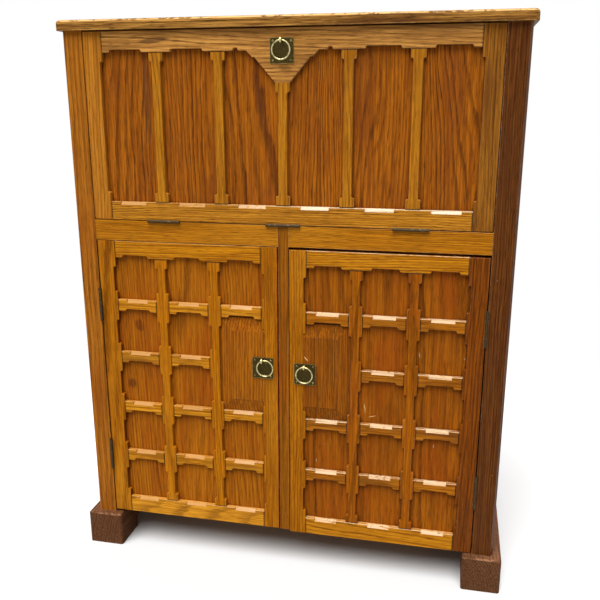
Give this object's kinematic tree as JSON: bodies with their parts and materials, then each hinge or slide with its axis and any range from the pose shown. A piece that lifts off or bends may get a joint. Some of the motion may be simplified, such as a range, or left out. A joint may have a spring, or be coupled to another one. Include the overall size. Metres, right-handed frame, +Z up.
{
  "type": "bar cabinet",
  "caption": "Tall oak bar cabinet on sledge feet: a fretted fall flap opens to a shelf above, two fretted doors close a cupboard below, with drop rings on square plates.",
  "frame": {"origin": "centre of the whole object's footprint, on the floor", "axes": "+Z up, -Y towards the front, +X to the right seen from the front"},
  "size_m": [0.891, 0.394, 1.104],
  "materials": {
    "slab_oak": "satin varnished golden oak",
    "fall_oak": "satin varnished golden oak",
    "door_oak": "satin varnished golden oak",
    "rail_oak": "satin varnished golden oak",
    "post_oak": "satin varnished oak, darker",
    "foot_oak": "dark stained oak, worn at the edges",
    "panel_oak": "satin varnished reddish oak veneer",
    "pad_oak": "satin varnished reddish oak",
    "side_oak": "satin varnished oak",
    "inside_oak": "plain oiled oak",
    "back_board": "raw hardboard",
    "hinge_brass": "aged brass",
    "plate_brass": "antiqued brass, dark olive",
    "ring_brass": "worn bright brass",
    "stay_brass": "satin brass",
    "catch_plastic": "brown plastic",
    "catch_steel": "zinc plated steel"
  },
  "bodies": {
    "carcass": {"back_panel": "back_board", "back_rail": "inside_oak", "bar_floor": "inside_oak", "bar_shelf": "inside_oak", "bearers": "inside_oak", "catch_magnets": "catch_plastic", "centre_muntin": "rail_oak", "cupboard_floor": "inside_oak", "cupboard_shelf": "inside_oak", "door_hinge_fixed_leaves": "hinge_brass", "fall_hinge_fixed_leaves": "hinge_brass", "hinge_pins": "hinge_brass", "left_back_post": "post_oak", "left_foot": "foot_oak", "left_front_post": "post_oak", "mid_rails": "rail_oak", "right_back_post": "post_oak", "right_foot": "foot_oak", "right_front_post": "post_oak", "side_panels": "side_oak", "side_rails": "side_oak", "stay_guides": "stay_brass", "stop_rails": "inside_oak", "top_slab": "slab_oak"},
    "fall": {"fall_bottom_rail": "fall_oak", "fall_hinge_moving_leaves": "hinge_brass", "fall_left_stile": "fall_oak", "fall_muntins": "fall_oak", "fall_panel": "panel_oak", "fall_pull_plate": "plate_brass", "fall_right_stile": "fall_oak", "fall_stays": "stay_brass", "fall_strikes": "catch_steel", "fall_top_rail": "fall_oak"},
    "left_door": {"left_door_bars": "door_oak", "left_door_bottom_rail": "door_oak", "left_door_hinge_moving_leaves": "hinge_brass", "left_door_hinge_stile": "door_oak", "left_door_lock_pad": "pad_oak", "left_door_meeting_stile": "door_oak", "left_door_muntins": "door_oak", "left_door_panel": "panel_oak", "left_door_pull_plate": "plate_brass", "left_door_strike": "catch_steel", "left_door_top_rail": "door_oak"},
    "right_door": {"right_door_bars": "door_oak", "right_door_bottom_rail": "door_oak", "right_door_hinge_moving_leaves": "hinge_brass", "right_door_hinge_stile": "door_oak", "right_door_lock_pad": "pad_oak", "right_door_meeting_stile": "door_oak", "right_door_muntins": "door_oak", "right_door_panel": "panel_oak", "right_door_pull_plate": "plate_brass", "right_door_strike": "catch_steel", "right_door_top_rail": "door_oak"},
    "fall_ring": {"fall_ring": "ring_brass"},
    "left_door_ring": {"left_door_ring": "ring_brass"},
    "right_door_ring": {"right_door_ring": "ring_brass"}
  },
  "joints": [
    {"name": "fall_hinge", "type": "hinge", "parent": "carcass", "child": "fall", "pos_m": [0, -0.1851, 0.72975], "axis": [1, 0, 0], "range_deg": [0, 90]},
    {"name": "left_door_hinge", "type": "hinge", "parent": "carcass", "child": "left_door", "pos_m": [-0.386, -0.1851, 0.38325], "axis": [0, 0, -1], "range_deg": [0, 110]},
    {"name": "right_door_hinge", "type": "hinge", "parent": "carcass", "child": "right_door", "pos_m": [0.386, -0.1851, 0.37925], "axis": [0, 0, 1], "range_deg": [0, 110]},
    {"name": "fall_ring_hinge", "type": "hinge", "parent": "fall", "child": "fall_ring", "pos_m": [0, -0.1917, 1.0613], "axis": [-1, 0, 0], "range_deg": [0, 100]},
    {"name": "left_door_ring_hinge", "type": "hinge", "parent": "left_door", "child": "left_door_ring", "pos_m": [-0.043, -0.1917, 0.4573], "axis": [-1, 0, 0], "range_deg": [0, 100]},
    {"name": "right_door_ring_hinge", "type": "hinge", "parent": "right_door", "child": "right_door_ring", "pos_m": [0.043, -0.1917, 0.4503], "axis": [-1, 0, 0], "range_deg": [0, 100]}
  ]
}
